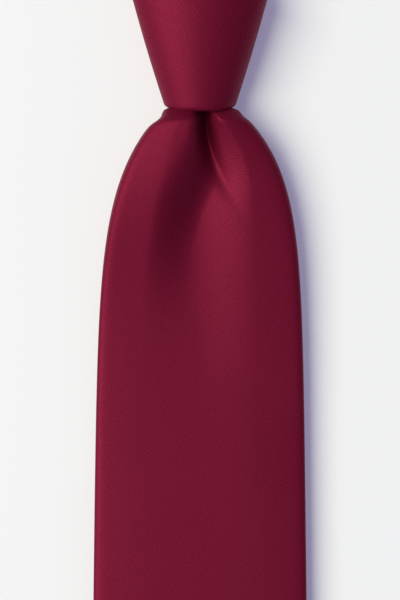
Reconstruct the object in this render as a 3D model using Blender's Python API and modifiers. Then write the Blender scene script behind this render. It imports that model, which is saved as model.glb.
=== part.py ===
"""A knotted necktie laid flat on its back: knot, front blade, tail and neck loop.

Frame: +Z up out of the surface that the tie lies on, +Y from the blade's point towards the neck loop.
The origin is the middle of the knot's flat back, on that surface. All values are metres.
"""

import math

import bmesh
import bpy
import numpy as np
from mathutils import Vector

# ------------------------------ driving dimensions
KNOT_HEIGHT = 0.050
KNOT_MOUTH_HALF = 0.0132
KNOT_TOP_HALF = 0.0282
KNOT_MOUTH_DEPTH = 0.020
KNOT_TOP_DEPTH = 0.028
BLADE_LENGTH = 0.430
BLADE_SHOULDER_HALF = 0.0425
TAIL_LENGTH = 0.288
TAIL_SHOULDER_HALF = 0.0205
NECK_HALF = 0.017
CLOTH = 0.0006
GAP = 0.0003
FOLD_HALF = 0.0019
WRAP = 0.003
BACK_WRAP = 0.002
THREAD = 0.0005
LINING = 0.0003
BLADE_INTERLINING = 0.0012
TAIL_INTERLINING = 0.0006
TACK_DEEP = 0.0006
TACK_HIGH = 0.0016
BLADE_TACK_HALF = 0.0045
KEEPER_WIDTH = 0.012

# ------------------------------ places worked out from them
MOUTH_Y = -KNOT_HEIGHT / 2
TOP_Y = KNOT_HEIGHT / 2
TAIL_FOLD = 0.0016
TAIL_Z = BACK_WRAP + GAP + TAIL_FOLD
TAIL_ROOM = TAIL_Z + TAIL_FOLD + GAP
BLADE_SHOULDER = BLADE_LENGTH - BLADE_SHOULDER_HALF
TAIL_SHOULDER = TAIL_LENGTH - TAIL_SHOULDER_HALF
SEAM_GAP = 0.0006
TIP_MARGIN = 0.007
BLADE_TACK = BLADE_LENGTH - 0.096
TAIL_TACK = TAIL_LENGTH - 0.045
TAIL_END = TAIL_LENGTH - 0.002
KEEPER_AT = 0.175
LABEL_AT = 0.217
FACE_STEPS = 12
SHELF_SHARE = 2 / 3
EDGE_DROP = 0.5
LIFT_AXIS_Z = 0.017
TILT_AXIS_Z = 0.012
TURN_STEP = 12.5

COLOURS = {
    "satin": ((0.150, 0.008, 0.028), 0.45),
    "lining": ((0.120, 0.010, 0.030), 0.35),
    "interlining": ((0.700, 0.660, 0.580), 0.90),
    "thread": ((0.130, 0.010, 0.030), 0.60),
    "label": ((0.030, 0.028, 0.032), 0.55),
}


def evenly(start, end, count):
    """count values from start to end."""
    return [start + (end - start) * i / (count - 1) for i in range(count)]


def smooth(x, low, high):
    """0 below low and 1 above high, with a smooth step between."""
    t = min(1.0, max(0.0, (x - low) / (high - low)))
    return t * t * (3 - 2 * t)


# ------------------------------ scene and materials
def clear_scene():
    for obj in list(bpy.data.objects):
        bpy.data.objects.remove(obj)


def material(name):
    """The named finish, made once."""
    found = bpy.data.materials.get(name)
    if found:
        return found
    colour, roughness = COLOURS[name]
    made = bpy.data.materials.new(name)
    made.use_nodes = True
    shader = made.node_tree.nodes["Principled BSDF"]
    shader.inputs["Base Color"].default_value = (*colour, 1)
    shader.inputs["Roughness"].default_value = roughness
    shader.inputs["Metallic"].default_value = 0
    return made


def add(name, data, finish):
    """The object of this data, in the necktie's collection."""
    obj = bpy.data.objects.new(name, data)
    data.materials.append(material(finish))
    COLLECTION.objects.link(obj)
    return obj


def grid_mesh(name, rows, across, closed):
    """Triangles through rows of points, every diagonal rising with across, so that layers stay parallel.

    closed joins each row's ends and caps the first and last rows.
    """
    mesh = bpy.data.meshes.new(name)
    count = len(across)
    faces = []
    for i in range(len(rows) - 1):
        for j in range(count if closed else count - 1):
            following = (j + 1) % count
            near, far = i * count + j, i * count + following
            below, beyond = near + count, far + count
            if across[following] > across[j]:
                faces += [(near, below, beyond), (near, beyond, far)]
            else:
                faces += [(near, below, far), (below, beyond, far)]
    if closed:
        faces.append(tuple(range(count)))
        faces.append(tuple(reversed(range((len(rows) - 1) * count, len(rows) * count))))
    mesh.from_pydata([tuple(p) for row in rows for p in row], [], faces)
    return mesh


def loft(place, outline, stations):
    """The rows of place(station, a, b) for each station's outline of (a, b), and the first one's a values."""
    outlines = [outline(at) for at in stations]
    rows = [[place(at, a, b) for a, b in ring] for at, ring in zip(stations, outlines)]
    return rows, [a for a, _ in outlines[0]]


def sheet(name, lofted, wall, finish, offset=-1.0):
    """Cloth of one thickness: an open sheet through the rows, thickened inwards."""
    mesh = grid_mesh(name, *lofted, closed=False)
    mesh.shade_smooth()
    obj = add(name, mesh, finish)
    thickened = obj.modifiers.new("wall", "SOLIDIFY")
    thickened.thickness = wall
    thickened.offset = offset
    thickened.use_even_offset = False
    return obj


def solid(name, lofted, finish):
    """A closed solid lofted through rings of points."""
    mesh = grid_mesh(name, *lofted, closed=True)
    work = bmesh.new()
    work.from_mesh(mesh)
    bmesh.ops.recalc_face_normals(work, faces=work.faces)
    work.to_mesh(mesh)
    work.free()
    mesh.shade_smooth()
    mesh.set_sharp_from_angle(angle=math.radians(40))
    return add(name, mesh, finish)


def thread(name, points, finish="thread", depth=THREAD / 2):
    """A sewing thread along a line of points."""
    curve = bpy.data.curves.new(name, "CURVE")
    curve.dimensions = "3D"
    curve.bevel_depth = depth
    curve.bevel_resolution = 1
    curve.use_fill_caps = True
    spline = curve.splines.new("POLY")
    spline.points.add(len(points) - 1)
    for point, place in zip(spline.points, points):
        point.co = (*place, 1)
    return add(name, curve, finish)


# ------------------------------ folded cloth, in (across, through) coordinates
def fold_outline(half, thick, gap, back=3, edge=3, front=FACE_STEPS):
    """The envelope's outline from one seam edge round the face to the other: a is across, b is through."""
    flat = half - thick
    left_back = [(-gap - (flat - gap) * i / back, -thick) for i in range(back)]
    turns = [math.pi * i / edge for i in range(edge)]
    left_edge = [(-flat - thick * math.sin(turn), -thick * math.cos(turn)) for turn in turns]
    face = [(-flat + 2 * flat * i / front, thick) for i in range(front + 1)]
    mirrored = [(-a, b) for a, b in reversed(left_back + left_edge)]
    return left_back + left_edge + face + mirrored


def plate_outline(half, low, high, steps=FACE_STEPS):
    """A flat layer's outline between two depths."""
    top = [(-half + 2 * half * i / steps, high) for i in range(steps + 1)]
    bottom = [(half - 2 * half * i / steps, low) for i in range(steps + 1)]
    return top + bottom


def seam_gap(at, half, tack, shoulder):
    """Half the gap between the back flaps: a seam above the tack, a V below it, a margin round the point."""
    margin = half - TIP_MARGIN
    open_share = smooth(at, tack, shoulder)
    return max(SEAM_GAP, min(margin, SEAM_GAP + open_share * margin))


# ------------------------------ the front blade
def blade_half(d):
    """Half the blade's width, d below the knot's mouth: gathered, flaring, then a square point."""
    if d > BLADE_SHOULDER:
        return max(0.0025, BLADE_LENGTH - d)
    flat = BLADE_SHOULDER_HALF - 0.011 * (BLADE_SHOULDER - d)
    return flat - 0.0255 * math.exp(-d / 0.0235)


def blade_fold(d):
    """Half the blade's thickness, thinner at the very point."""
    return FOLD_HALF - 0.0006 * smooth(d, BLADE_LENGTH - 0.012, BLADE_LENGTH)


def blade_middle(d, x):
    """Height of the blade's middle layer: it arches over the tail, and swells and dimples below the knot."""
    half = blade_half(d)
    over_tail = TAIL_ROOM * (1 - smooth(d, 0.335, 0.400))
    shelf = SHELF_SHARE * (half - blade_fold(d))
    slope = min(1.0, max(0.0, (abs(x) - shelf) / (half - shelf)))
    swell = 0.0105 * math.exp(-((d / 0.045) ** 1.5)) * math.cos(math.pi / 2 * min(1.0, abs(x) / half))
    dimple = 0.0075 * math.exp(-((d / 0.040) ** 2)) * math.exp(-((x / (0.0055 + 0.12 * d)) ** 2))
    return blade_fold(d) + over_tail * (1 - EDGE_DROP * smooth(d, 0.0, 0.110) * slope) + swell - dimple


def blade_point(d, a, b):
    """The place b through the cloth's thickness, a across and d below the mouth."""
    step = 0.0002
    slope = (blade_middle(d, a + step) - blade_middle(d, a - step)) / (2 * step)
    normal = Vector((-slope, 0, 1)).normalized()
    return Vector((a, MOUTH_Y - d, blade_middle(d, a))) + b * normal


BLADE_STATIONS = [0.0003, 0.003, 0.008, 0.016, 0.026, 0.038, 0.054, 0.075, 0.110, 0.180, 0.260, 0.315, 0.334]
POINT_STATIONS = [0.350, 0.366, 0.377, BLADE_SHOULDER, 0.400, 0.415, 0.426, 0.4290]


def blade_outline(d):
    half = blade_half(d)
    return fold_outline(half, blade_fold(d), seam_gap(d, half, BLADE_TACK, BLADE_SHOULDER))


def blade():
    """The folded shell, its interlining, the tipping behind its point, its back seam and the tack on it."""
    shell_rows = loft(blade_point, blade_outline, BLADE_STATIONS + POINT_STATIONS)
    shell = sheet("blade_shell", shell_rows, CLOTH, "satin")
    high = FOLD_HALF - CLOTH - GAP
    low = high - BLADE_INTERLINING
    inner_stations = BLADE_STATIONS + POINT_STATIONS[:-2]
    interlining = solid(
        "blade_interlining",
        loft(blade_point, lambda d: plate_outline(blade_half(d) - FOLD_HALF, low, high), inner_stations),
        "interlining",
    )
    tipping = solid(
        "blade_tipping",
        loft(
            blade_point,
            lambda d: plate_outline(blade_half(d) - FOLD_HALF, low - GAP - LINING, low - GAP),
            BLADE_STATIONS[-2:] + POINT_STATIONS[:-2],
        ),
        "lining",
    )
    seam_depth = -FOLD_HALF + CLOTH / 2
    stitch = thread("blade_slip_stitch", [blade_point(d, 0, seam_depth) for d in evenly(0.060, 0.330, 16)])
    tack_high = -FOLD_HALF - GAP
    tack = solid(
        "blade_bar_tack",
        loft(
            blade_point,
            lambda d: plate_outline(BLADE_TACK_HALF, tack_high - TACK_DEEP, tack_high, 2),
            [BLADE_TACK - TACK_HIGH / 2, BLADE_TACK + TACK_HIGH / 2],
        ),
        "thread",
    )
    return [shell, interlining, tipping, stitch, tack]


def keeper():
    """The strip behind the blade that holds the tail: two sewn feet, two rises and the span under it."""
    inner, foot, wall, corner = 0.0208, 0.0250, 0.0008, 0.0006
    high, low = TAIL_ROOM - GAP - wall / 2, wall / 2
    rise = [(inner + corner, high), (inner, high - corner), (inner, low + corner), (inner - corner, low)]
    half_path = [(foot, high), *rise]
    path = [(-x, z) for x, z in half_path] + [(x, z) for x, z in reversed(half_path)]
    lofted = loft(
        lambda d, x, z: Vector((x, MOUTH_Y - d, z)),
        lambda d: path,
        [KEEPER_AT - KEEPER_WIDTH / 2, KEEPER_AT + KEEPER_WIDTH / 2],
    )
    return sheet("keeper_loop", lofted, wall, "satin", offset=0.0)


# ------------------------------ the tail
def tail_half(d):
    """Half the tail's width: gathered at the knot, then a slow flare to its own square point."""
    if d > TAIL_SHOULDER:
        return max(0.0022, TAIL_LENGTH - d)
    return 0.008 + 0.009 * (1 - math.exp(-d / 0.025)) + 0.0035 * d / TAIL_SHOULDER


def tail_point(d, a, b):
    return Vector((a, MOUTH_Y - d, TAIL_Z + b))


def tail_outline(d):
    half = tail_half(d)
    return fold_outline(half, TAIL_FOLD, seam_gap(d, half, TAIL_TACK, TAIL_SHOULDER), front=4)


def tail():
    """The narrow end's shell, interlining, tipping, back seam and tack, and the label sewn behind it."""
    thick = TAIL_FOLD
    stations = [0.0003, 0.015, 0.035, 0.070, 0.160, TAIL_TACK, 0.256, TAIL_SHOULDER, 0.275, TAIL_END]
    shell = sheet("tail_shell", loft(tail_point, tail_outline, stations), CLOTH, "satin")
    high = thick - CLOTH - GAP
    low = high - TAIL_INTERLINING
    inner_stations = stations[:-2] + [TAIL_LENGTH - 0.010]
    interlining = solid(
        "tail_interlining",
        loft(tail_point, lambda d: plate_outline(tail_half(d) - thick, low, high, 2), inner_stations),
        "interlining",
    )
    tipping = solid(
        "tail_tipping",
        loft(
            tail_point,
            lambda d: plate_outline(tail_half(d) - thick, low - GAP - LINING, low - GAP, 2),
            [0.228] + inner_stations[5:],
        ),
        "lining",
    )
    seam_depth = -thick + CLOTH / 2
    stitch = thread("tail_slip_stitch", [tail_point(d, 0, seam_depth) for d in evenly(0.020, 0.240, 12)])
    under = -thick - GAP
    pieces = [shell, interlining, tipping, stitch]
    for name, start, end, half, deep, finish in (
        ("tail_bar_tack", TAIL_TACK - 0.0007, TAIL_TACK + 0.0007, 0.0035, 0.0005, "thread"),
        ("care_label", LABEL_AT - 0.013, LABEL_AT + 0.013, 0.0095, 0.0004, "label"),
    ):
        lofted = loft(tail_point, lambda d: plate_outline(half, under - deep, under, 2), (start, end))
        pieces.append(solid(name, lofted, finish))
    return pieces


# ------------------------------ the neck loop
LOOP_ROUTE = [
    (-0.0128, 0.0252),
    (-0.0165, 0.037),
    (-0.031, 0.060),
    (-0.052, 0.088),
    (-0.0635, 0.121),
    (-0.0600, 0.154),
    (-0.0400, 0.175),
    (0.0, 0.1815),
]
LOOP_STEPS = 12
LOOP_HALF_AT_KNOT = 0.0062
LOOP_FOLD_AT_KNOT = 0.0030
LOOP_ROLL_AT_KNOT = math.radians(8)
LOOP_ROLL_BEHIND = math.radians(78)
LOOP_CLEARANCE = 0.0002


def loop_line():
    """A fine smooth line through the route and its mirror image, and the length along it at each point."""
    route = np.array(LOOP_ROUTE + [(-x, y) for x, y in reversed(LOOP_ROUTE[:-1])])
    ends = np.vstack([2 * route[0] - route[1], route, 2 * route[-1] - route[-2]])
    shares = np.arange(LOOP_STEPS)[:, None] / LOOP_STEPS
    line = []
    for p0, p1, p2, p3 in zip(ends, ends[1:], ends[2:], ends[3:]):
        curved = (2 * p0 - 5 * p1 + 4 * p2 - p3) * shares**2 + (3 * p1 - 3 * p2 + p3 - p0) * shares**3
        line.append((2 * p1 + (p2 - p0) * shares + curved) / 2)
    line = np.vstack([*line, route[-1:]])
    along = np.append(0.0, np.cumsum(np.linalg.norm(np.diff(line, axis=0), axis=1)))
    return line, along


LOOP_LINE, LOOP_ALONG = loop_line()
LOOP_LENGTH = float(LOOP_ALONG[-1])


def loop_half(s):
    """Half the band's width, s along the loop: gathered where each leg enters the knot."""
    from_end = min(s, LOOP_LENGTH - s)
    return LOOP_HALF_AT_KNOT + (NECK_HALF - LOOP_HALF_AT_KNOT) * smooth(from_end, 0.0, 0.050)


def loop_fold(s):
    from_end = min(s, LOOP_LENGTH - s)
    return LOOP_FOLD_AT_KNOT + (FOLD_HALF - LOOP_FOLD_AT_KNOT) * smooth(from_end, 0.0, 0.050)


def loop_place(s):
    return Vector([float(np.interp(s, LOOP_ALONG, LOOP_LINE[:, k])) for k in (0, 1)] + [0])


def loop_point(s, a, b):
    """The place a across and b through the band, which leaves the knot face up and rolls on to its edge."""
    step = 0.002
    along = (loop_place(min(s + step, LOOP_LENGTH)) - loop_place(max(s - step, 0))).normalized()
    outward = Vector((-along.y, along.x, 0))
    from_end = min(s, LOOP_LENGTH - s)
    roll = LOOP_ROLL_AT_KNOT + (LOOP_ROLL_BEHIND - LOOP_ROLL_AT_KNOT) * smooth(from_end, 0.005, 0.105)
    across = outward * math.cos(roll) - Vector((0, 0, 1)) * math.sin(roll)
    normal = outward * math.sin(roll) + Vector((0, 0, 1)) * math.cos(roll)
    on_edge = NECK_HALF * math.sin(LOOP_ROLL_BEHIND) + FOLD_HALF * math.cos(LOOP_ROLL_BEHIND) + LOOP_CLEARANCE
    height = TILT_AXIS_Z + (on_edge - TILT_AXIS_Z) * smooth(from_end, 0.010, 0.100)
    return loop_place(s) + Vector((0, 0, height)) + a * across + b * normal


JOIN_AT = 0.085
JOIN_GAP = 0.0006
JOIN_SEAM_GAP = 0.002
JOIN_THREAD = 0.0004
NECK_INTERLINING = 0.0014


def loop_outline(s):
    return fold_outline(loop_half(s), loop_fold(s), SEAM_GAP, back=2, edge=3, front=4)


def loop_filling(s):
    """The interlining's outline, close under the band's face."""
    high = loop_fold(s) - CLOTH - GAP
    return plate_outline(loop_half(s) - loop_fold(s), high - NECK_INTERLINING, high, 4)


def neck_loop():
    """The blade's end, the neck piece and the tail's end, two seams, and one interlining through them all."""
    start, end = 0.0005, LOOP_LENGTH - 0.0005
    spans = (
        ("blade_leg_shell", evenly(start, JOIN_AT - JOIN_GAP, 12)),
        ("neck_piece_shell", evenly(JOIN_AT + JOIN_GAP, LOOP_LENGTH - JOIN_AT - JOIN_GAP, 23)),
        ("tail_leg_shell", evenly(LOOP_LENGTH - JOIN_AT + JOIN_GAP, end, 12)),
    )
    pieces = []
    for name, stations in spans:
        pieces.append(sheet(name, loft(loop_point, loop_outline, stations), CLOTH, "satin"))
    all_stations = [s for _, stations in spans for s in stations]
    interlining = solid("neck_interlining", loft(loop_point, loop_filling, all_stations), "interlining")
    for name, at in (("blade_join_seam", JOIN_AT), ("tail_join_seam", LOOP_LENGTH - JOIN_AT)):
        inset = FOLD_HALF - CLOTH / 2
        outline = fold_outline(loop_half(at) - CLOTH / 2, inset, JOIN_SEAM_GAP, back=1, edge=4, front=4)
        pieces.append(thread(name, [loop_point(at, a, b) for a, b in outline], depth=JOIN_THREAD / 2))
    seam = [loop_point(s, 0, -loop_fold(s) + CLOTH / 2) for s in evenly(0.030, LOOP_LENGTH - 0.030, 31)]
    stitch = thread("neck_slip_stitch", seam)
    return pieces + [interlining, stitch]


# ------------------------------ the knot
BAND_TOP = 0.0425
SIDE_LOW = 0.024
SIDE_TOP = 0.0465
BACK_SHARE = 0.62
THROAT_HALF = 0.0076


def knot_half(k):
    """Half the knot's width, k above its mouth."""
    return KNOT_MOUTH_HALF + (KNOT_TOP_HALF - KNOT_MOUTH_HALF) * k / KNOT_HEIGHT


def knot_deep(k):
    """Half the knot's depth, k above its mouth."""
    return (KNOT_MOUTH_DEPTH + (KNOT_TOP_DEPTH - KNOT_MOUTH_DEPTH) * k / KNOT_HEIGHT) / 2


def knot_point(k, angle, inset):
    """A place on the knot's oval, inset from its face. The angle runs from the front, positive to +X."""
    turn = math.radians(angle)
    return Vector(
        (
            (knot_half(k) - inset) * math.sin(turn),
            MOUTH_Y + k,
            knot_deep(k) + (knot_deep(k) - inset) * math.cos(turn),
        )
    )


def wrap(name, low, high, first, last, inset):
    """A turn of the tie round the knot, as a curved sheet one folded thickness deep."""
    angles = evenly(first, last, round((last - first) / TURN_STEP) + 1)
    rows = [[knot_point(k, angle, inset) for angle in angles] for k in evenly(high, low, 4)]
    return sheet(name, (rows, angles), WRAP, "satin")


def oval(half, thick, steps=14):
    turns = [2 * math.pi * i / steps for i in range(steps)]
    return [(half * math.sin(turn), thick * math.cos(turn)) for turn in turns]


# The last pass comes up behind the knot, over its top between the loop's legs, and down to the mouth.
# Each station is its y, its z, its half width and its half thickness.
TOP_PASS = [
    (0.0225, 0.0050, 0.0048, 0.0014),
    (0.0262, 0.0080, 0.0050, 0.0018),
    (0.0287, 0.0130, 0.0052, 0.0018),
    (0.0270, 0.0180, 0.0056, 0.0018),
    (0.0215, 0.0203, 0.0066, 0.0019),
    (0.0130, 0.0180, 0.0072, 0.0020),
    (-0.0010, 0.0145, 0.0056, 0.0024),
    (-0.0190, 0.0125, 0.0080, 0.0034),
]


def pass_place(i, a, b):
    """The place a across and b through the last pass at its station i."""
    before, after = TOP_PASS[max(i - 1, 0)], TOP_PASS[min(i + 1, len(TOP_PASS) - 1)]
    along = Vector((0, after[0] - before[0], after[1] - before[1])).normalized()
    y, z = TOP_PASS[i][:2]
    return Vector((a, y, z)) + b * Vector((0, -along.z, along.y))


def knot_place(k, a, b):
    return Vector((a, MOUTH_Y + k, b))


def knot():
    """The knot's turns from the outside in, and the stretch of the tail that passes through its back."""
    under = WRAP + 2 * GAP
    wrap("knot_front_band", 0.0, BAND_TOP, -10 * TURN_STEP, 10 * TURN_STEP, 0.0)
    wrap("knot_left_wrap", SIDE_LOW, SIDE_TOP, -9 * TURN_STEP, -2 * TURN_STEP, under)
    wrap("knot_right_wrap", SIDE_LOW, SIDE_TOP, 2 * TURN_STEP, 9 * TURN_STEP, under)
    stations = range(len(TOP_PASS))
    solid("knot_top_pass", loft(pass_place, lambda i: oval(*TOP_PASS[i][2:]), stations), "satin")
    solid(
        "knot_back_wrap",
        loft(knot_place, lambda k: plate_outline(BACK_SHARE * knot_half(k), 0, BACK_WRAP, 1), (0.003, 0.045)),
        "satin",
    )
    solid(
        "tail_throat",
        loft(
            knot_place,
            lambda k: plate_outline(THROAT_HALF, TAIL_Z - TAIL_FOLD, TAIL_Z + TAIL_FOLD, 2),
            (0.0005, 0.045),
        ),
        "satin",
    )


# ------------------------------ the joints
def pivot(name, place, parent=None):
    """An empty on a joint's axis, at a place in the world."""
    empty = bpy.data.objects.new(name, None)
    COLLECTION.objects.link(empty)
    empty.location = place
    if parent:
        empty.parent = parent
        empty.location -= parent.location
    return empty


def hang(pieces, empty, place):
    """Parent the pieces to the empty that stands at the place, without moving them."""
    for piece in pieces:
        piece.parent = empty
        piece.location = -place


clear_scene()
COLLECTION = bpy.data.collections.new("necktie")
bpy.context.scene.collection.children.link(COLLECTION)
knot()
lift_axis = Vector((0, MOUTH_Y, LIFT_AXIS_Z))
blade_lift = pivot("blade_lift", lift_axis)
hang([*blade(), keeper()], blade_lift, lift_axis)
pull_start = Vector((0, MOUTH_Y, TAIL_Z))
hang(tail(), pivot("tail_pull", pull_start, blade_lift), pull_start)
tilt_axis = Vector((0, TOP_Y, TILT_AXIS_Z))
hang(neck_loop(), pivot("loop_tilt", tilt_axis), tilt_axis)
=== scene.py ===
"""A knotted necktie laid flat: the looks of its front blade, tail, neck loop and knot.

Frame: +Z up out of the surface that the tie lies on, +Y from the blade's point towards the neck loop.
Distances down the blade and the tail are measured from the knot's mouth, in metres, as every length is.
"""

import math

import bmesh
import bpy
import numpy as np
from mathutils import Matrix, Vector


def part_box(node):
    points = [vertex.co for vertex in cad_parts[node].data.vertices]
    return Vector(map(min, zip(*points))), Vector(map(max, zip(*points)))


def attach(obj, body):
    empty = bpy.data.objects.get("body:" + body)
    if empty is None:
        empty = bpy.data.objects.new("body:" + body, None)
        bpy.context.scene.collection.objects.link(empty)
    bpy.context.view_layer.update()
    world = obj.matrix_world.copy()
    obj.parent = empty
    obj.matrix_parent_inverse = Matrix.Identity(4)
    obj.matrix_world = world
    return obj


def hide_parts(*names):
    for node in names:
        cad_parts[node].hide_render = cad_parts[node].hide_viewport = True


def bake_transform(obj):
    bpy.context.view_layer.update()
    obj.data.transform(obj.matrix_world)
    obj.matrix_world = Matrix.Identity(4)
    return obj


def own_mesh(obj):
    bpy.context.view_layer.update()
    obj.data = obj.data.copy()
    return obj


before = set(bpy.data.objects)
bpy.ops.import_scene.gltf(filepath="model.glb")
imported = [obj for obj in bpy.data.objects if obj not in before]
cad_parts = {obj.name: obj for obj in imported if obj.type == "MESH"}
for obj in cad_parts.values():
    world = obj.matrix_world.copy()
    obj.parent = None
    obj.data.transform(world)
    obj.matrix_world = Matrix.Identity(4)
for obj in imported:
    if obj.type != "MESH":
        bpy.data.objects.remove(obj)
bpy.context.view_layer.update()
MOUTH_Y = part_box("knot_front_band")[0].y


# ------------------------------ front blade: the shell
# The wide end of the tie is one layer of bias-cut satin, folded round an interlining into a flat envelope.
# Its edges are rolled, never pressed, and its two flaps meet in a seam down the middle of the back.
# The knot gathers it into two cheeks with a dimple between them.
BLADE_LENGTH = 0.430
BLADE_SHOULDER_HALF = 0.0425
BLADE_SHOULDER = BLADE_LENGTH - BLADE_SHOULDER_HALF
BLADE_TACK = BLADE_LENGTH - 0.096
SATIN_WALL = 0.0006
SEAM_GAP = 0.0003
TIP_MARGIN = 0.007
TAIL_ROOM = 0.0058
FOLD = 0.0019
CROWDING = 1.6
POINT_CLOSES = 0.006
GATHERED_HALF = 0.0096
TAPER = 0.011
GATHER_LEFT, GATHER_LEFT_FADES = 0.0255, 0.0250
GATHER_RIGHT, GATHER_RIGHT_FADES = 0.0248, 0.0215
THREAD_DROOP, DROOP_FADES = 0.014, 0.038
BLADE_LOWERS = (0.335, 0.400)

LIP_LIFT, LIP_FADES = 0.0040, 0.015
LEFT_CHEEK, LEFT_FADES = 0.0112, 0.055
RIGHT_CHEEK, RIGHT_FADES = 0.0040, 0.080
CREASE_AT, CREASE_SPREADS, CREASE_ENDS = 0.0028, 8.7, 0.031
SLIT_DEEP, SLIT_FADES, SLIT_WIDE = 0.0030, 0.021, 0.0028


def smooth(x, low, high):
    """0 below low and 1 above high, with a smooth step between."""
    t = np.clip((x - low) / (high - low), 0, 1)
    return t * t * (3 - 2 * t)


def fading(distance, length, power=2):
    """A bell curve, e to the minus square of the share: 1 at no distance, nearly 0 past twice the length."""
    return np.exp(-((distance / length) ** power))


def blade_edge(d, side):
    """Half width of the blade on one side.

    It is a straight taper, less an exponential gather at the mouth and a small bell-shaped notch beside the
    knot. Past the shoulder the edge runs in at 45 degrees to the point.
    """
    taper = BLADE_SHOULDER_HALF - TAPER * (BLADE_SHOULDER - d)
    left_gather = GATHER_LEFT * np.exp(-d / GATHER_LEFT_FADES)
    right_gather = GATHER_RIGHT * np.exp(-d / GATHER_RIGHT_FADES)
    left_notch = 0.0016 * fading(d - 0.0042, 0.0022)
    right_notch = 0.0006 * fading(d - 0.0032, 0.0015)
    notched = taper - np.where(side < 0, left_gather + left_notch, right_gather + right_notch)
    free = np.where(d > BLADE_SHOULDER, BLADE_LENGTH - d, notched)
    return GATHERED_HALF + (free - GATHERED_HALF) * smooth(d, -0.0015, 0.0012)


def closing(d, length):
    """How open a folded piece is: 1 along it, falling as a square root to nearly nothing at its point."""
    return np.sqrt(np.clip((length - d) / POINT_CLOSES, 0.02, 1))


def blade_bottom(x, d):
    """Height of the flaps' back.

    It rests over the tail, droops with the fourth power of the way out to the edges, and comes down to the
    surface past the tail's end. A slight bell-shaped rise holds it up at the knot.
    """
    out = np.abs(x) / blade_edge(d, x)
    lowered = np.where(x < 0, 0.12, 0.17) * smooth(d, 0.020, 0.150) * out**4
    held_up = 0.0006 * fading(d, 0.038)
    return TAIL_ROOM * (1 - smooth(d, *BLADE_LOWERS)) * (1 - lowered) + held_up


def blade_depth(x, d):
    """Height of the face over the back: the fold, a slight crown, and two cheeks with a dimple between them.

    The left cheek falls by a smooth step from its crest to the dimple's floor, later and more steeply near
    the knot. The right cheek rises from a crease, which moves outwards as the square of the distance, by a
    power curve that rounds over at its crest; past the crease's end a smooth step takes its place. A
    bell-shaped slit runs along the crease. Both cheeks fall off again towards the edges.
    """
    below = np.clip(d, 0, None)
    out = np.abs(x) / blade_edge(d, x)
    creased = fading(below, CREASE_ENDS, 6)
    crease = CREASE_AT + CREASE_SPREADS * below**2
    under_lip = LIP_LIFT * fading(below, LIP_FADES)

    left_crest = -0.0035 - 0.0205 * (1 - np.exp(-below / 0.032))
    left_foot = 0.0022 + (crease - CREASE_AT) * creased - 0.0045 * smooth(below, 0.034, 0.055)
    over = np.clip((x - left_crest) / (left_foot - left_crest), 0, 1)
    skew = 1 + 2.5 * fading(below, 0.018)
    left = (LEFT_CHEEK * fading(below, LEFT_FADES, 2.8) - under_lip) * (1 - smooth(over**skew, 0, 1))

    right_crest = 0.0020 + 0.0195 * (1 - np.exp(-below / 0.0135))
    climb = np.clip((x - crease) / np.maximum(right_crest - crease, 0.0010), 0, 1)
    risen = creased * (1 - (1 - climb) ** 1.3) + (1 - creased) * smooth(x, -0.0020, right_crest)
    right = RIGHT_CHEEK * fading(below, RIGHT_FADES) * risen

    depth = SLIT_DEEP * fading(below, SLIT_FADES) + under_lip
    slit = depth * fading(x - crease + SLIT_WIDE / 2, SLIT_WIDE)
    lifted = 0.0010 * fading(below, 0.050) + under_lip
    in_mouth = 0.50 + 0.50 * smooth(d, -0.001, 0.0060)
    falling = np.where(x < 0, 0.12 * smooth(out, 0.40, 0.95), 0.40 * out**3)
    raised = (left + right + lifted) * in_mouth * (1 - falling) - slit * in_mouth
    return 2 * FOLD * closing(d, BLADE_LENGTH) + raised + 0.0003 * (1 - out**2)


def envelope(half_left, half_right, squareness, gap, face, back):
    """The folded outline at each station, from one seam edge round the face to the other.

    Gives x, whose columns crowd together towards the rolled edges, and the share of the way up from the back
    to the face: half and half (1 - out ** squareness) ** 0.5, a squared-off oval.
    """
    turn = np.linspace(-1, 1, face + 1)
    across = np.sign(turn) * (1 - (1 - np.abs(turn)) ** CROWDING)
    out = 1 - (1 - np.linspace(0, 1, back, endpoint=False)) ** CROWDING
    gap = np.minimum(gap, 0.9 * np.minimum(half_left, half_right))[:, None]
    left_flap = -(gap + out * (half_left[:, None] - gap))
    right_flap = (gap + out * (half_right[:, None] - gap))[:, ::-1]
    face_x = across * np.where(across < 0, half_left[:, None], half_right[:, None])
    x = np.concatenate([left_flap, face_x, right_flap], axis=1)
    edge = np.abs(x) / np.where(x < 0, half_left[:, None], half_right[:, None])
    bulge = np.sqrt(np.clip(1 - edge ** squareness[:, None], 0, 1))
    on_face = np.concatenate([-np.ones(back), np.ones(face + 1), -np.ones(back)])
    return x, 0.5 + 0.5 * bulge * on_face


def seam_gap(d, half, tack, shoulder):
    """Half the gap between the flaps: a seam to the tack, a V below it, a margin round the point."""
    margin = np.clip(half - TIP_MARGIN, SEAM_GAP, None)
    return np.clip(SEAM_GAP + smooth(d, tack, shoulder) * margin, SEAM_GAP, margin)


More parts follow.
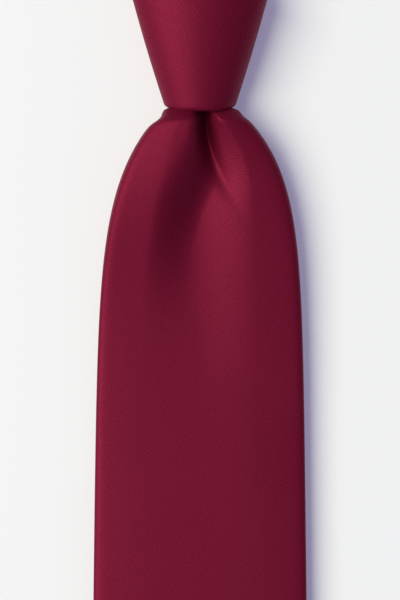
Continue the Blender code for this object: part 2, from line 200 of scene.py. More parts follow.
def cloth(name, points, uv, ring=False, flip=False):
    """A smooth mesh through a grid of points, with a UV map in metres along the cloth's own threads.

    A ring joins each row's last column to its first, and its end rows are single points.
    """
    rows, columns = points.shape[:2]
    index = np.arange(rows * columns).reshape(rows, columns)
    if ring:
        index = np.column_stack([index, index[:, :1]])
    corners = [np.s_[:-1, :-1], np.s_[1:, :-1], np.s_[1:, 1:], np.s_[:-1, 1:]]
    if flip:
        corners = corners[::-1]
    quads = np.stack([index[c] for c in corners], axis=-1).reshape(-1, 4)
    spots = np.stack([uv[c] for c in corners], axis=-2).reshape(-1, 2)
    mesh = bpy.data.meshes.new(name)
    mesh.from_pydata(points.reshape(-1, 3), [], quads)
    mesh.uv_layers.new(name="Threads").data.foreach_set("uv", spots.astype(np.float32).ravel())
    mesh.shade_smooth()
    if ring:
        close_ends(mesh)
    obj = bpy.data.objects.new(name, mesh)
    bpy.context.scene.collection.objects.link(obj)
    return obj


def close_ends(mesh):
    """Merge the points of each end row of a ringed grid, which lie in one place."""
    work = bmesh.new()
    work.from_mesh(mesh)
    bmesh.ops.remove_doubles(work, verts=work.verts, dist=1e-7)
    work.to_mesh(mesh)
    work.free()


def thicken(obj, wall, offset=-1.0):
    """Give the cloth its wall, inwards from its face."""
    made = obj.modifiers.new("wall", "SOLIDIFY")
    made.thickness = wall
    made.offset = offset
    made.use_even_offset = False
    return obj


def stands_for(piece, node, material):
    """Dress a piece in its material, and put it in the place of its CAD node."""
    piece.data.materials.append(material)
    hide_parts(node)
    return piece


def arc(points):
    """Distance along each row of the grid from its middle column."""
    steps = np.linalg.norm(np.diff(points, axis=1), axis=2)
    run = np.concatenate([np.zeros((len(points), 1)), np.cumsum(steps, axis=1)], axis=1)
    return run - run[:, run.shape[1] // 2 : run.shape[1] // 2 + 1]


class Wire:
    """A number on a node's output socket. Arithmetic on it adds Math nodes."""

    def __init__(self, finish, socket):
        self.finish = finish
        self.socket = socket

    def _maths(self, operation, first, second=0.0):
        return self.finish.node("ShaderNodeMath", {"operation": operation}, {0: first, 1: second})

    def __add__(self, other):
        return self._maths("ADD", self, other)

    def __sub__(self, other):
        return self._maths("SUBTRACT", self, other)

    def __mul__(self, other):
        return self._maths("MULTIPLY", self, other)

    def __rsub__(self, other):
        return self._maths("SUBTRACT", other, self)

    __radd__ = __add__
    __rmul__ = __mul__

    def wave(self):
        """Half and half a sine: from 0 to 1 and back over each whole turn."""
        return self._maths("SINE", self * (2 * math.pi)) * 0.5 + 0.5


class Finish:
    """A material under construction, with one method for adding any node."""

    def __init__(self, name, roughness, metallic=0.0, specular=0.5, sheen=0.0, sheen_roughness=0.5):
        self.material = bpy.data.materials.new(name)
        self.material.use_nodes = True
        self.tree = self.material.node_tree
        self.shader = self.tree.nodes["Principled BSDF"]
        self.shader.inputs["Roughness"].default_value = roughness
        self.shader.inputs["Metallic"].default_value = metallic
        self.shader.inputs["Specular IOR Level"].default_value = specular
        self.shader.inputs["Sheen Weight"].default_value = sheen
        self.shader.inputs["Sheen Roughness"].default_value = sheen_roughness

    def node(self, kind, settings, sockets, output=0):
        """Add a node of that kind, with its settings, then the values or links of its sockets."""
        made = self.tree.nodes.new(kind)
        for key, value in settings.items():
            setattr(made, key, value)
        for key, value in sockets.items():
            self.feed(made.inputs[key], value)
        return Wire(self, made.outputs[output])

    def feed(self, socket, value):
        """Link a wire to the socket, or set its constant."""
        if isinstance(value, Wire):
            self.tree.links.new(value.socket, socket)
        else:
            socket.default_value = value

    def threads(self):
        """The cloth's own coordinates: across and along its threads, in metres."""
        return self.node("ShaderNodeUVMap", {"uv_map": "Threads"}, {})

    def part(self, vector, axis):
        """One component of a vector: 0, 1 or 2."""
        return self.node("ShaderNodeSeparateXYZ", {}, {0: vector}, axis)

    def noise(self, vector, scale, detail=2.0):
        """Cloudy noise from 0 to 1, so many turns in a metre."""
        return self.node("ShaderNodeTexNoise", {}, {"Vector": vector, "Scale": scale, "Detail": detail})

    def mix(self, share, first, second):
        """A colour between two others."""
        return self.node(
            "ShaderNodeMix",
            {"data_type": "RGBA"},
            {"Factor": share, 6: (*first, 1) if isinstance(first, tuple) else first, 7: (*second, 1)},
            2,
        )

    def dress(self, colour, height=None, depth=0.0, roughness=None):
        """Feed the shader its colour, its roughness and its bump."""
        self.feed(self.shader.inputs["Base Color"], colour)
        if roughness is not None:
            self.feed(self.shader.inputs["Roughness"], roughness)
        if height is not None:
            bump = self.node("ShaderNodeBump", {}, {"Height": height, "Distance": depth, "Strength": 1.0})
            self.feed(self.shader.inputs["Normal"], bump)
        return self.material


TWILL_ANGLE = math.radians(24)
TWILL_PITCH = 0.00088
YARN_PITCH = 0.00046
TWILL_RELIEF = 0.000024
SLUBS, DYE_CLOUDS, YARN_GRAIN = 420.0, 24.0, 1150.0
SATIN_ROUGH = 0.46
DARK_WINE = (0.118, 0.0030, 0.0190)
BRIGHT_WINE = (0.293, 0.0120, 0.0605)


def satin(name):
    """Fine silk twill: raised diagonal lines crossed by the yarns, with painted shade that darkens the
    colour between the lines.

    The lines and yarns are sine waves of the thread coordinates turned by the twill's angle. Noise at two
    scales, fine as the yarns and broad as a dye lot, shares in the tone.
    """
    made = Finish(name, roughness=SATIN_ROUGH, metallic=0.36, specular=0.08)
    threads = made.threads()
    across, along = made.part(threads, 0), made.part(threads, 1)
    cos, sin = math.cos(TWILL_ANGLE), math.sin(TWILL_ANGLE)
    rise = along * (cos / TWILL_PITCH) - across * (sin / TWILL_PITCH)
    run = along * (sin / YARN_PITCH) + across * (cos / YARN_PITCH)
    uneven = made.noise(threads, SLUBS)
    lines = (rise + uneven * 0.5).wave()
    yarns = (run + lines * 0.5).wave()
    cloudy = made.noise(threads, DYE_CLOUDS)
    grain = made.noise(threads, YARN_GRAIN)
    # painted shade: the lines' share of the tone darkens the grooves between the raised lines; the grain and
    # cloudy shares are the cloth's own uneven dye
    tone = made.mix(lines * 0.24 + grain * 0.56 + cloudy * 0.20, DARK_WINE, BRIGHT_WINE)
    height = lines * 0.75 + yarns * 0.25
    return made.dress(tone, height, TWILL_RELIEF, uneven * 0.10 + SATIN_ROUGH)


BLADE_ROWS = np.concatenate(
    [
        np.arange(-0.006, 0.014, 0.0005),
        np.arange(0.014, 0.060, 0.0010),
        np.arange(0.060, 0.120, 0.0020),
        np.arange(0.120, 0.384, 0.0040),
        np.arange(0.384, 0.4290, 0.0010),
        [0.4292],
    ]
)


def blade_shell():
    """The envelope between the blade's back and its face.

    The cloth's threads droop towards the edges by the square of the way out, where the knot draws them in.
    """
    d = BLADE_ROWS
    left, right = blade_edge(d, -1), blade_edge(d, 1)
    gap = seam_gap(d, left, BLADE_TACK, BLADE_SHOULDER)
    squareness = 18 + 20 * smooth(d, 0.010, 0.070)
    x, up = envelope(left, right, squareness, gap, 160, 20)
    down = np.broadcast_to(d[:, None], x.shape)
    points = np.stack([x, MOUTH_Y - down, blade_bottom(x, down) + blade_depth(x, down) * up], axis=-1)
    half = np.where(x < 0, left[:, None], right[:, None])
    droop = THREAD_DROOP * np.exp(-np.clip(down, 0, None) / DROOP_FADES) * (x / half) ** 2
    uv = np.stack([arc(points), droop - down], axis=-1)
    return thicken(cloth("blade_shell_satin", points, uv), SATIN_WALL)


SATIN = satin("wine satin")

shell = stands_for(blade_shell(), "blade_shell", SATIN)
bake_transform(shell)


# ------------------------------ front blade: interlining and tipping
# A strip of brushed wool, cut to the finished outline, lies inside the whole blade and gives it its body.
# Behind the point, where the flaps part, a smooth lining is sewn in to cover it.
WOOL_HIGH = 0.0024
WOOL_INSET = 0.0026
WOOL_WALL = 0.0010
LINING_HIGH = 0.0009
LINING_INSET = 0.0012
LINING_WALL = 0.0003
LINING_FROM = 0.316


def lay(name, d, half_left, half_right, height, columns=40):
    """A flat layer inside a folded piece: even columns between its two edges, at a height of (x, d)."""
    span = np.linspace(-1, 1, columns + 1)
    x = np.where(span < 0, half_left[:, None], half_right[:, None]) * span
    down = np.broadcast_to(d[:, None], x.shape)
    points = np.stack([x, MOUTH_Y - down, height(x, down)], axis=-1)
    return cloth(name, points, np.stack([x, -down], axis=-1))


def brushed_wool():
    """Cream wool: two sine waves for the open weave, and fine noise for the fluff brushed up over it."""
    made = Finish("interlining wool", roughness=0.95, specular=0.1, sheen=0.3)
    threads = made.threads()
    yarns_per_metre = 900
    weave = (made.part(threads, 0) * yarns_per_metre).wave() * 0.5
    weave = weave + (made.part(threads, 1) * yarns_per_metre).wave() * 0.5
    fluffy = weave * 0.5 + made.noise(threads, 1500.0) * 0.5
    tone = made.mix(fluffy, (0.56, 0.51, 0.42), (0.74, 0.70, 0.60))
    return made.dress(tone, fluffy, 0.0002)


def plain_lining():
    """Smooth dark lining: a sine wave for its fine ribs, and broad noise that paints a sheen into its
    colour.
    """
    made = Finish("wine lining", roughness=0.36, metallic=0.1, specular=0.4)
    threads = made.threads()
    ribs_per_metre = 2600
    ribs = (made.part(threads, 1) * ribs_per_metre).wave()
    cloudy = made.noise(threads, 60.0)
    # painted sheen: the broad noise lightens and darkens the lining's colour in broad patches
    tone = made.mix(ribs * 0.4 + cloudy * 0.6, (0.085, 0.006, 0.020), (0.125, 0.009, 0.030))
    return made.dress(tone, ribs, 0.00002)


WOOL = brushed_wool()
LINING = plain_lining()
inside = BLADE_ROWS[(BLADE_ROWS > -0.0045) & (BLADE_ROWS < BLADE_LENGTH - 0.0065)]
interlining = lay(
    "blade_interlining_wool",
    inside,
    blade_edge(inside, -1) - WOOL_INSET,
    blade_edge(inside, 1) - WOOL_INSET,
    lambda x, d: blade_bottom(x, d) + WOOL_HIGH,
)
thicken(interlining, WOOL_WALL)
stands_for(interlining, "blade_interlining", WOOL)
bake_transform(interlining)

behind_point = BLADE_ROWS[(BLADE_ROWS > LINING_FROM) & (BLADE_ROWS < BLADE_LENGTH - 0.0045)]
tipping = lay(
    "blade_tipping_lining",
    behind_point,
    blade_edge(behind_point, -1) - LINING_INSET,
    blade_edge(behind_point, 1) - LINING_INSET,
    lambda x, d: blade_bottom(x, d) + LINING_HIGH,
)
thicken(tipping, LINING_WALL, 1.0)
stands_for(tipping, "blade_tipping", LINING)
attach(tipping, "front_blade")


# ------------------------------ front blade: back seam and bar tack
# One long loose thread closes the two flaps from inside with slanted stitches, so that the cloth can slide.
# A short bar of tight zigzag stitches locks its lower end, where the flaps part.
def flowing(points, steps):
    """A smooth line through the points: a cubic between each pair, shaped by their two neighbours."""
    points = np.asarray(points, float)
    ends = np.vstack([2 * points[:1] - points[1:2], points, 2 * points[-1:] - points[-2:-1]])
    t = np.arange(steps)[None, :, None] / steps
    p0, p1, p2, p3 = (ends[i : len(ends) - 3 + i, None] for i in range(4))
    curved = (2 * p0 - 5 * p1 + 4 * p2 - p3) * t**2 + (3 * p1 - 3 * p2 + p3 - p0) * t**3
    line = ((2 * p1 + (p2 - p0) * t + curved) / 2).reshape(-1, points.shape[1])
    return np.vstack([line, points[-1:]])


def sweep(name, line, side, half, thick, square=1.0, round_steps=16):
    """A closed band along a line: at each point an oval ring about it, wide along the side vector.

    The ring is (|cos| ** square, sin) of a full turn, so a low power squares it off. Each end is closed with
    a point, and the thread coordinates run round the band and along it.
    """
    along = np.gradient(line, axis=0)
    along /= np.linalg.norm(along, axis=1, keepdims=True)
    side = side - along * np.sum(side * along, axis=1, keepdims=True)
    side /= np.linalg.norm(side, axis=1, keepdims=True)
    normal = np.cross(side, along)
    turn = np.linspace(0, 2 * math.pi, round_steps, endpoint=False)
    a = np.sign(np.cos(turn)) * np.abs(np.cos(turn)) ** square
    b = np.sin(turn)
    half, thick = np.broadcast_to(half, len(line)), np.broadcast_to(thick, len(line))
    ring = (
        line[:, None]
        + side[:, None] * (half[:, None] * a)[..., None]
        + normal[:, None] * (thick[:, None] * b)[..., None]
    )
    ring = np.concatenate([0 * ring[:1] + line[0], ring, 0 * ring[-1:] + line[-1]])
    run = np.cumsum(np.linalg.norm(np.diff(line, axis=0, prepend=line[:1]), axis=1))
    run = np.concatenate([run[:1], run, run[-1:]])
    around = np.append(turn, 2 * math.pi) * float(np.mean(half) * 2 / math.pi)
    uv = np.stack(np.broadcast_arrays(around[None], -run[:, None]), axis=-1)
    return cloth(name, ring, uv, ring=True)


def sewing_thread():
    """Twisted thread: one sine wave, slanting round it."""
    made = Finish("wine thread", roughness=0.6, specular=0.3, sheen=0.2)
    threads = made.threads()
    twist = (made.part(threads, 1) * 1600 + made.part(threads, 0) * 1500).wave()
    tone = made.mix(twist, (0.10, 0.006, 0.020), (0.19, 0.014, 0.045))
    return made.dress(tone, twist, 0.00005)


THREAD = sewing_thread()
STITCH_PITCH = 0.006
BAR_PITCH = 0.0005
THREAD_HALF = 0.00022


def zigzag(x):
    """A triangle wave from -1 to 1, one turn for each whole number."""
    return 2 * np.abs(2 * (x - np.floor(x + 0.5))) - 1


def sew(name, line, side, node, body, half=THREAD_HALF):
    """One sewn thread along a line, riding on a body in the place of its CAD node."""
    made = stands_for(sweep(name, line, side, half, half, round_steps=8), node, THREAD)
    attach(made, body)


d = np.arange(0.060, 0.330, 0.0005)
slant = 0.0009 * zigzag(d / STITCH_PITCH)
seam_line = np.stack([slant, MOUTH_Y - d, blade_bottom(0 * d, d) + 0.0001], axis=-1)
sew("blade_slip_stitching", seam_line, np.array([[1.0, 0, 0]]), "blade_slip_stitch", "front_blade")

x = np.linspace(-0.0045, 0.0045, 320)
y = MOUTH_Y - BLADE_TACK + 0.0008 * zigzag(x / BAR_PITCH)
tack_line = np.stack([x, y, 0 * x + TAIL_ROOM - 0.0001], axis=-1)
sew("blade_bar_tacking", tack_line, np.array([[0, 0, 1.0]]), "blade_bar_tack", "front_blade")


# ------------------------------ front blade: keeper loop
# A strip of the same satin, folded into three and pressed, whose two ends are sewn flat to the blade's back.
# The tail passes between it and the blade.
KEEPER_AT = 0.175
KEEPER_FOOT = 0.0250
KEEPER_INNER = 0.0208
KEEPER_HIGH = 0.0050
KEEPER_LOW = 0.0005
KEEPER_HALF = 0.0060
KEEPER_THICK = 0.00042


def keeper_loop():
    """A strip along its own path: in from one foot, down, across under the tail, and up to the other."""
    half_path = [
        (KEEPER_FOOT, KEEPER_HIGH),
        (KEEPER_INNER + 0.0014, KEEPER_HIGH),
        (KEEPER_INNER + 0.0004, KEEPER_HIGH - 0.0008),
        (KEEPER_INNER + 0.0002, KEEPER_LOW + 0.0010),
        (KEEPER_INNER - 0.0010, KEEPER_LOW + 0.0001),
        (KEEPER_INNER / 2, KEEPER_LOW),
    ]
    path = [(-x, z) for x, z in half_path] + [(x, z) for x, z in half_path[::-1]]
    flat = flowing(path, 12)
    line = np.stack([flat[:, 0], 0 * flat[:, 0] + MOUTH_Y - KEEPER_AT, flat[:, 1]], axis=-1)
    side = np.array([[0, 1.0, 0]])
    return sweep("keeper_loop_satin", line, side, KEEPER_HALF, KEEPER_THICK, square=0.25, round_steps=40)


keeper = stands_for(keeper_loop(), "keeper_loop", SATIN)
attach(keeper, "front_blade")


# ------------------------------ tail: the shell, and the stretch that comes out of the knot
# The narrow end is folded and seamed as the blade is. It lies under the blade and slides through the knot.
# The gathered stretch at the knot is a little wider than the tail below it, which draws down out of it.
TAIL_LENGTH = 0.288
TAIL_SHOULDER_HALF = 0.0205
TAIL_SHOULDER = TAIL_LENGTH - TAIL_SHOULDER_HALF
TAIL_TACK = TAIL_LENGTH - 0.045
TAIL_BOTTOM = 0.0023
TAIL_DEEP = 0.0032
TAIL_TOP = 0.046
TAIL_GATHERED = 0.008
TAIL_FLARE = 0.0035
THROAT_END = 0.100
THROAT_EASE = 0.0003


def tail_edge(d):
    """Half the tail's width: an exponential gather at the knot, a slow flare, and a 45 degree point."""
    below = np.clip(d, 0, None)
    free = TAIL_GATHERED + 0.009 * (1 - np.exp(-below / 0.025)) + TAIL_FLARE * below / TAIL_SHOULDER
    return np.minimum(free, TAIL_LENGTH - d)


def tail_envelope(name, node, d, half, low, deep):
    """A straight envelope like the blade's, whose fold closes towards the point."""
    gap = seam_gap(d, half, TAIL_TACK, TAIL_SHOULDER)
    x, up = envelope(half, half, 0 * d + 14, gap, 60, 14)
    down = np.broadcast_to(d[:, None], x.shape)
    z = low + deep * (0.5 + (up - 0.5) * closing(d, TAIL_LENGTH)[:, None])
    points = np.stack([x, MOUTH_Y - down, z], axis=-1)
    made = thicken(cloth(name, points, np.stack([arc(points), -down], axis=-1)), SATIN_WALL)
    return stands_for(made, node, SATIN)


d = np.concatenate([np.arange(TAIL_TOP, 0.256, 0.003), np.arange(0.256, TAIL_LENGTH - 0.001, 0.001)])
tail = tail_envelope("tail_shell_satin", "tail_shell", d, tail_edge(d), TAIL_BOTTOM, TAIL_DEEP)
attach(tail, "tail")

d = np.arange(-0.044, THROAT_END + 0.0001, 0.002)
ease = THROAT_EASE * (1 - 0.9 * smooth(d, THROAT_END - 0.006, THROAT_END))
throat = tail_envelope(
    "tail_throat_satin",
    "tail_throat",
    d,
    tail_edge(d) + ease,
    TAIL_BOTTOM - THROAT_EASE / 2,
    TAIL_DEEP + THROAT_EASE,
)
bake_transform(throat)


# ------------------------------ tail: interlining, tipping, back seam, bar tack and label
# The tail is filled, lined and sewn as the blade is, with thinner wool.
# A plain woven label is sewn across its back by both ends.
TAIL_WOOL_HIGH = 0.0022
TAIL_WOOL_INSET = 0.0020
TAIL_WOOL_WALL = 0.0007
TAIL_LINING_HIGH = 0.0011
TAIL_LINING_FROM = 0.228


def tail_layer(name, d, inset, high, wall):
    """A flat layer inside the tail, so far in from its edges and so high over its back."""
    half = tail_edge(d) - inset
    return thicken(lay(name, d, half, half, lambda x, down: 0 * x + TAIL_BOTTOM + high, 16), wall)


d = np.arange(TAIL_TOP + 0.002, TAIL_LENGTH - 0.006, 0.004)
wool = tail_layer("tail_interlining_wool", d, TAIL_WOOL_INSET, TAIL_WOOL_HIGH, TAIL_WOOL_WALL)
stands_for(wool, "tail_interlining", WOOL)
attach(wool, "tail")

d = np.arange(TAIL_LINING_FROM, TAIL_LENGTH - 0.005, 0.002)
lining = tail_layer("tail_tipping_lining", d, LINING_INSET, TAIL_LINING_HIGH, LINING_WALL)
stands_for(lining, "tail_tipping", LINING)
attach(lining, "tail")

d = np.arange(TAIL_TOP + 0.010, TAIL_TACK, 0.0005)
seam_line = np.stack([0.0008 * zigzag(d / STITCH_PITCH), MOUTH_Y - d, 0 * d + TAIL_BOTTOM + 0.0001], axis=-1)
sew("tail_slip_stitching", seam_line, np.array([[1.0, 0, 0]]), "tail_slip_stitch", "tail")
x = np.linspace(-0.0035, 0.0035, 250)
y = MOUTH_Y - TAIL_TACK + 0.0007 * zigzag(x / BAR_PITCH)
tack_line = np.stack([x, y, 0 * x + TAIL_BOTTOM - 0.0001], axis=-1)
sew("tail_bar_tacking", tack_line, np.array([[0, 0, 1.0]]), "tail_bar_tack", "tail")

LABEL_AT = 0.217
LABEL_HALF = 0.0095
LABEL_LONG = 0.026
LABEL_WALL = 0.00025
LABEL_LINE_AT = 0.0108
LABEL_LINE_HALF = 0.0004


def woven_label():
    """A plain black taffeta: crossed sine waves for its fine ribs, and a narrow grey line along each end."""
    made = Finish("black label", roughness=0.5, specular=0.4)
    threads = made.threads()
    along = made.part(threads, 1)
    ribs_per_metre = 2500
    ribs = (along * ribs_per_metre).wave()
    specks = (made.part(threads, 0) * ribs_per_metre).wave()
    from_middle = made.node("ShaderNodeMath", {"operation": "ABSOLUTE"}, {0: along})
    sockets = {0: from_middle, 1: LABEL_LINE_AT, 2: LABEL_LINE_HALF}
    border = made.node("ShaderNodeMath", {"operation": "COMPARE"}, sockets)
    plain = made.mix(ribs * specks, (0.016, 0.015, 0.017), (0.040, 0.038, 0.042))
    tone = made.mix(border, plain, (0.22, 0.21, 0.22))
    return made.dress(tone, ribs * specks, 0.00004)


def label_cloth():
    """A flat patch whose two ends fold under: its height dips by a smooth step at each end."""
    across, along = np.meshgrid(np.linspace(-1, 1, 25), np.linspace(-1, 1, 53))
    height = TAIL_BOTTOM - 0.0004 + 0.0003 * smooth(np.abs(along), 0.93, 1)
    waves = 0.00005 * np.sin(5 * across) * np.cos(4 * along)
    y = MOUTH_Y - LABEL_AT + along * LABEL_LONG / 2
    points = np.stack([across * LABEL_HALF, y, height + waves], axis=-1)
    uv = np.stack([across * LABEL_HALF, along * LABEL_LONG / 2], axis=-1)
    return thicken(cloth("care_label_cloth", points, uv), LABEL_WALL, 0.0)


label = stands_for(label_cloth(), "care_label", woven_label())
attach(label, "tail")


# ------------------------------ neck loop: the two legs and the neck piece
# The band round the neck is the same folded satin. Seams join the blade's end, the neck piece and the
# tail's end. It leaves the knot gathered and face up, and rolls on to its edge as it goes round the neck.
LOOP_ROUTE = [
    (-0.0128, 0.0252),
    (-0.0165, 0.037),
    (-0.031, 0.060),
    (-0.052, 0.088),
    (-0.0635, 0.121),
    (-0.0600, 0.154),
    (-0.0400, 0.175),
    (0.0, 0.1815),
]
NECK_HALF = 0.017
NECK_FOLD = 0.0019
KNOT_LEG_HALF = 0.0062
KNOT_LEG_FOLD = 0.0030
LEG_INSIDE = 0.006
JOIN_AT = 0.085
TILT_AXIS_Z = 0.012
ROLL_AT_KNOT = math.radians(8)
ROLL_BEHIND = math.radians(78)
ON_EDGE = NECK_HALF * math.sin(ROLL_BEHIND) + NECK_FOLD * math.cos(ROLL_BEHIND) + 0.0002
CUT_TUCK = 0.0004
CUT_ROUND = 0.0008

loop_line = flowing(LOOP_ROUTE + [(-x, y) for x, y in LOOP_ROUTE[-2::-1]], 60)
loop_along = np.append(0.0, np.cumsum(np.linalg.norm(np.diff(loop_line, axis=0), axis=1)))
LOOP_LENGTH = float(loop_along[-1])


def on_loop(s):
    """The centre line's x and y, s along it, running straight on inside the knot past either end."""
    inside = np.clip(s, 0, LOOP_LENGTH)
    place = np.stack([np.interp(inside, loop_along, loop_line[:, k]) for k in (0, 1)], axis=-1)
    start = (loop_line[1] - loop_line[0]) / loop_along[1]
    end = start * [1, -1]
    return place + np.minimum(s, 0)[:, None] * start + np.maximum(s - LOOP_LENGTH, 0)[:, None] * end


def loop_frame(s):
    """At each s: the centre, the unit vectors across the band and out of its face, half its width, its fold.

    Smooth steps of the distance from the nearer end give the band's roll, its height and its gathering.
    """
    step = 0.002
    along = on_loop(s + step) - on_loop(s - step)
    along /= np.linalg.norm(along, axis=1, keepdims=True)
    from_end = np.minimum(s, LOOP_LENGTH - s)
    roll = ROLL_AT_KNOT + (ROLL_BEHIND - ROLL_AT_KNOT) * smooth(from_end, 0.005, 0.105)
    outward = np.stack([-along[:, 1], along[:, 0], 0 * s], axis=-1)
    upright = np.array([[0, 0, 1.0]])
    cos, sin = np.cos(roll)[:, None], np.sin(roll)[:, None]
    height = TILT_AXIS_Z + (ON_EDGE - TILT_AXIS_Z) * smooth(from_end, 0.010, 0.100)
    centre = np.column_stack([on_loop(s), height])
    gathered = 1 - smooth(from_end, 0.0, 0.050)
    half = NECK_HALF + (KNOT_LEG_HALF - NECK_HALF) * gathered
    fold = NECK_FOLD + (KNOT_LEG_FOLD - NECK_FOLD) * gathered
    return centre, outward * cos - upright * sin, outward * sin + upright * cos, half, fold


def loop_band(name, start, end, node):
    """A stretch of the folded band, whose ends turn in slightly where a seam joins it to the next one."""
    turned_in = np.array([0, 0.0003, 0.0007])
    between = np.arange(start + 0.0015, end - 0.0008, 0.0015)
    s = np.concatenate([start + turned_in, between, end - turned_in[::-1]])
    centre, across, normal, half, fold = loop_frame(s)
    from_cut = np.minimum(s - start, end - s)
    fold = fold - CUT_TUCK * (1 - np.sqrt(np.clip(from_cut / CUT_ROUND, 0, 1)))
    x, up = envelope(half, half, 0 * s + 8, 0 * s + SEAM_GAP, 48, 12)
    crown = 0.0004 * (1 - (x / half[:, None]) ** 2) * (up > 0.5)
    out = fold[:, None] * (2 * up - 1) + crown
    points = centre[:, None] + across[:, None] * x[..., None] + normal[:, None] * out[..., None]
    uv = np.stack([arc(points), np.broadcast_to(s[:, None], x.shape)], axis=-1)
    made = thicken(cloth(name, points, uv, flip=True), SATIN_WALL)
    hang_on_loop(stands_for(made, node, SATIN))


def hang_on_loop(piece):
    """The piece rides on the loop's body, so it tilts with the loop, and has a mesh of its own."""
    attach(piece, "neck_loop")
    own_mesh(piece)


TAIL_JOIN_AT = LOOP_LENGTH - JOIN_AT
loop_band("blade_leg_satin", -LEG_INSIDE, JOIN_AT, "blade_leg_shell")
loop_band("neck_piece_satin", JOIN_AT, TAIL_JOIN_AT, "neck_piece_shell")
loop_band("tail_leg_satin", TAIL_JOIN_AT, LOOP_LENGTH + LEG_INSIDE, "tail_leg_shell")


# ------------------------------ neck loop: interlining, join seams and back seam
# One strip of the wool runs through the whole loop. Small stitches show round the band at both joins, and
# the same long thread as the blade's closes the back.
NECK_WOOL_HIGH = 0.0004
NECK_WOOL_WALL = 0.0012
JOIN_THREAD_HALF = 0.0002

s = np.arange(0.002, LOOP_LENGTH - 0.002, 0.003)
centre, across, normal, half, fold = loop_frame(s)
x = (half - fold)[:, None] * np.linspace(-1, 1, 17)
points = centre[:, None] + across[:, None] * x[..., None] + normal[:, None] * NECK_WOOL_HIGH
uv = np.stack(np.broadcast_arrays(x, s[:, None]), axis=-1)
strip = thicken(cloth("neck_interlining_wool", points, uv, flip=True), NECK_WOOL_WALL)
hang_on_loop(stands_for(strip, "neck_interlining", WOOL))

for name, at in (("blade_join", JOIN_AT), ("tail_join", TAIL_JOIN_AT)):
    turn = np.linspace(0.04 * math.pi, 1.96 * math.pi, 240) - math.pi / 2
    s = at + 0.00035 * zigzag(np.linspace(0, 40, len(turn)))
    centre, across, normal, half, fold = loop_frame(s)
    over = np.sign(np.cos(turn)) * np.abs(np.cos(turn)) ** 0.2 * (half - 0.0005)
    out = np.sin(turn) * (fold - 0.00025)
    ring = centre + across * over[:, None] + normal * out[:, None]
    side = np.array([[0.3, 1.0, 0.1]])
    seam = sweep(name + "_stitching", ring, side, JOIN_THREAD_HALF, JOIN_THREAD_HALF)
    hang_on_loop(stands_for(seam, name + "_seam", THREAD))

s = np.arange(0.030, LOOP_LENGTH - 0.030, 0.0006)
centre, across, normal, half, fold = loop_frame(s)
slant = 0.0008 * zigzag(s / STITCH_PITCH)
seam_line = centre + across * slant[:, None] - normal * (fold - 0.0001)[:, None]
stitching = sweep("neck_slip_stitching", seam_line, across, THREAD_HALF, THREAD_HALF, round_steps=8)
hang_on_loop(stands_for(stitching, "neck_slip_stitch", THREAD))


# ------------------------------ knot: the turns of satin
# The front band crosses the face of the knot once and wraps round to its back. It is the folded tie
# itself, pulled tight, so its edges are rolled and its lower lip bows down in the middle.
MOUTH_HALF = 0.0132
MOUTH_DEEP = 0.010
SPREAD = 0.30
DEEPEN = 0.08
TIGHTER = 1.13
WRAP_WALL = 0.003
BAND_HIGH = 0.0425
WRAP_LOW, WRAP_HIGH = 0.024, 0.0472
WRAP_INSET = 0.0036


def knot_wrap(name, low, high, first, last, inset, bow, lip=0.0):
    """A folded band round the knot's oval.

    The oval's half width and half depth grow evenly with k, the height over the mouth. Round the band's
    section runs a flat loop: the outer face upwards, over a rolled edge, and the inner face back down.
    """
    turn = np.radians(np.linspace(first, last, 97))
    edge = np.linspace(0, math.pi, 9)
    face = np.linspace(0, 1, 41)
    share = np.concatenate([face[1:-1], np.ones(9), face[::-1][1:-1], np.zeros(9)])
    proud = np.concatenate([0 * face[1:-1] + 1, np.cos(edge), 0 * face[1:-1] - 1, -np.cos(edge)])
    over = np.concatenate([0 * face[1:-1], np.sin(edge), 0 * face[1:-1], -np.sin(edge)])
    swing = np.abs(np.degrees(turn))
    thick = WRAP_WALL * (1 - 0.55 * smooth(swing, 105, 150))
    facing = np.sin(np.minimum(swing, 90) * math.pi / 180)
    bottom = low - lip * (1 - facing**6)
    roll = thick / 2
    straight = high - bottom - 2 * roll
    k = bottom + roll + share[:, None] * straight + over[:, None] * roll
    fullness = bow * (np.sin(math.pi * share) * (proud > 0.99))[:, None] * np.cos(turn / 2) ** 2
    in_by = inset + roll * (1 - proud[:, None]) - fullness
    half = MOUTH_HALF + SPREAD * k - in_by
    deep = MOUTH_DEEP + DEEPEN * k
    points = np.stack([half * np.sin(turn), MOUTH_Y + k, deep + (deep - in_by) * np.cos(turn)], axis=-1)
    points = points.transpose(1, 0, 2)
    steps = np.diff(points[:, :1], axis=0, prepend=points[:1, :1])
    across = np.cumsum(np.linalg.norm(steps, axis=2), axis=0)
    across = np.concatenate([across[:1], across, across[-1:]])
    first_end, last_end = 0 * points[:1] + points[0].mean(0), 0 * points[-1:] + points[-1].mean(0)
    points = np.concatenate([first_end, points, last_end])
    around = np.arange(len(share) + 1) / len(share) * 2 * (high - low)
    uv = np.stack(np.broadcast_arrays(around[None], -across), axis=-1)
    return cloth(name, points, uv * TIGHTER, ring=True)


def wrap_round(made, node):
    """Tie a turn of satin into the knot."""
    stands_for(made, node, SATIN)
    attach(made, "knot")


band = knot_wrap("knot_band_satin", 0.0, BAND_HIGH, -150, 150, 0.0, bow=0.0006, lip=0.0019)
wrap_round(band, "knot_front_band")
left_wrap = knot_wrap("knot_left_wrap_satin", WRAP_LOW, WRAP_HIGH, -128, -20, WRAP_INSET, bow=0.0004)
wrap_round(left_wrap, "knot_left_wrap")
right_wrap = knot_wrap("knot_right_wrap_satin", WRAP_LOW, WRAP_HIGH, 20, 128, WRAP_INSET, bow=0.0004)
wrap_round(right_wrap, "knot_right_wrap")


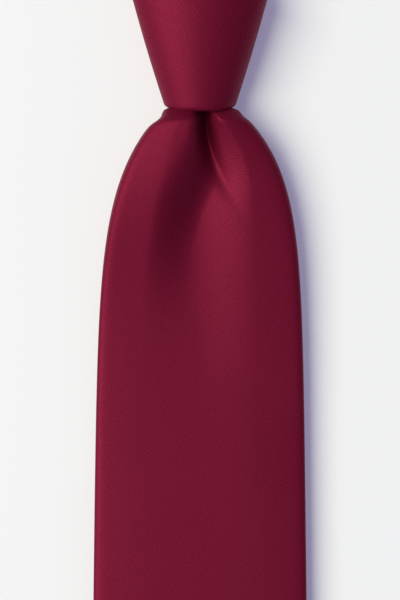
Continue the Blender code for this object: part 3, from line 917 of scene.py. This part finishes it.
# ------------------------------ knot: the last pass and the back
# The last pass comes up behind the knot, over its top between the two legs, and down inside the front band.
# Behind, the first turn lies flat between the tail and whatever the knot rests on.
PASS = [
    (0.0205, 0.0050, 0.0046, 0.0014),
    (0.0262, 0.0080, 0.0054, 0.0018),
    (0.0290, 0.0132, 0.0060, 0.0019),
    (0.0272, 0.0184, 0.0066, 0.0020),
    (0.0212, 0.0208, 0.0074, 0.0021),
    (0.0130, 0.0184, 0.0076, 0.0022),
    (-0.0010, 0.0145, 0.0060, 0.0026),
    (-0.0190, 0.0125, 0.0080, 0.0034),
]
route = flowing(PASS, 10)
line = np.stack([0 * route[:, 0], route[:, 0], route[:, 1]], axis=-1)
last_pass = sweep("knot_pass_satin", line, np.array([[1.0, 0, 0]]), route[:, 2], route[:, 3], 0.45, 40)
wrap_round(last_pass, "knot_top_pass")


def knot_back():
    """A flat folded turn across the back of the knot, as wide as a share of it.

    Its section is a squared oval, (|cos| ** 0.14, sin) of a full turn, so its edges are rolled.
    """
    high, low, wall = 0.045, 0.003, 0.0020
    turn = np.linspace(0, 2 * math.pi, 80, endpoint=False)
    k = (high + low) / 2 + (high - low) / 2 * np.sign(np.cos(turn)) * np.abs(np.cos(turn)) ** 0.14
    z = wall / 2 + wall / 2 * np.sin(turn)
    side = np.concatenate([[0], np.linspace(-1, 1, 41), [0]])[:, None]
    x = side * (0.62 * (MOUTH_HALF + SPREAD * k))[None]
    closed = (np.arange(len(side)) > 0) & (np.arange(len(side)) < len(side) - 1)
    k = np.where(closed[:, None], k[None], (high + low) / 2)
    z = np.where(closed[:, None], z[None], wall / 2)
    x[0], x[-1] = x[1].min(), x[-2].max()
    points = np.stack([x, MOUTH_Y + k, z], axis=-1)
    around = np.append(turn, 2 * math.pi) * (high - low) / math.pi
    uv = np.stack(np.broadcast_arrays(around[None], -side * 0.014), axis=-1)
    return cloth("knot_back_satin", points, uv, ring=True, flip=True)


wrap_round(knot_back(), "knot_back_wrap")


# ------------------------------ the studio
# A pale paper floor, one large soft light from the left and a little above, and an even surround.
# Painted light: the paper glows faintly of its own, which lightens the shadows on it and gives them their
# cool tint.
FLOOR_HALF = 3.0
FLOOR_Z = -0.0002
FLOOR_PAINTED_GLOW = (0.16, 0.165, 0.26, 1)
KEY_AWAY = 3.4
KEY_HIGH = math.radians(53)
KEY_ROUND = math.radians(174)
KEY_SIZE = 2.8
KEY_ENERGY = 116.0
KEY_COLOUR = (0.965, 1.0, 0.765)
SURROUND_COLOUR = (0.80, 0.68, 1.0, 1)
SURROUND_STRENGTH = 0.18
PICTURE_MIDDLE = (0, -0.0975, 0.008)
PICTURE_HIGH = 0.2264
LENS = 200.0
SENSOR = 36.0

x, y = np.array([(-1, -1), (1, -1), (1, 1), (-1, 1)]).T * FLOOR_HALF
floor_mesh = bpy.data.meshes.new("floor")
floor_mesh.from_pydata(np.stack([x, y, 0 * x + FLOOR_Z], axis=-1), [], [(0, 1, 2, 3)])
floor = bpy.data.objects.new("floor", floor_mesh)
bpy.context.scene.collection.objects.link(floor)
paper = Finish("pale paper", roughness=0.9, specular=0.2)
# painted light: the floor's own faint glow, which lightens and tints the shadows cast on it
paper.shader.inputs["Emission Color"].default_value = FLOOR_PAINTED_GLOW
paper.shader.inputs["Emission Strength"].default_value = 1.0
fibres = paper.noise(paper.node("ShaderNodeTexCoord", {}, {}, "Object"), 900.0)
floor_mesh.materials.append(paper.dress(paper.mix(fibres, (0.92, 0.92, 0.92), (0.94, 0.94, 0.94))))

aim = np.array([0, -0.10, 0])
flat_way = math.cos(KEY_HIGH)
towards = np.array([flat_way * math.cos(KEY_ROUND), flat_way * math.sin(KEY_ROUND), math.sin(KEY_HIGH)])
key_light = bpy.data.lights.new("key", "AREA")
key_light.shape = "SQUARE"
key_light.size = KEY_SIZE
key_light.energy = KEY_ENERGY
key_light.color = KEY_COLOUR
key = bpy.data.objects.new("key", key_light)
bpy.context.scene.collection.objects.link(key)
key.location = aim + KEY_AWAY * towards
key.rotation_euler = Vector(-towards).to_track_quat("-Z", "Y").to_euler()

world = bpy.data.worlds.new("surround")
bpy.context.scene.world = world
world.use_nodes = True
background = world.node_tree.nodes["Background"]
background.inputs["Color"].default_value = SURROUND_COLOUR
background.inputs["Strength"].default_value = SURROUND_STRENGTH

camera_data = bpy.data.cameras.new("camera")
camera_data.lens = LENS
camera_data.sensor_width = SENSOR
camera_data.clip_end = 10
camera = bpy.data.objects.new("camera", camera_data)
bpy.context.scene.collection.objects.link(camera)
camera.location = np.add(PICTURE_MIDDLE, (0, 0, PICTURE_HIGH * LENS / SENSOR))
bpy.context.scene.camera = camera
bpy.context.scene.view_settings.view_transform = "Standard"
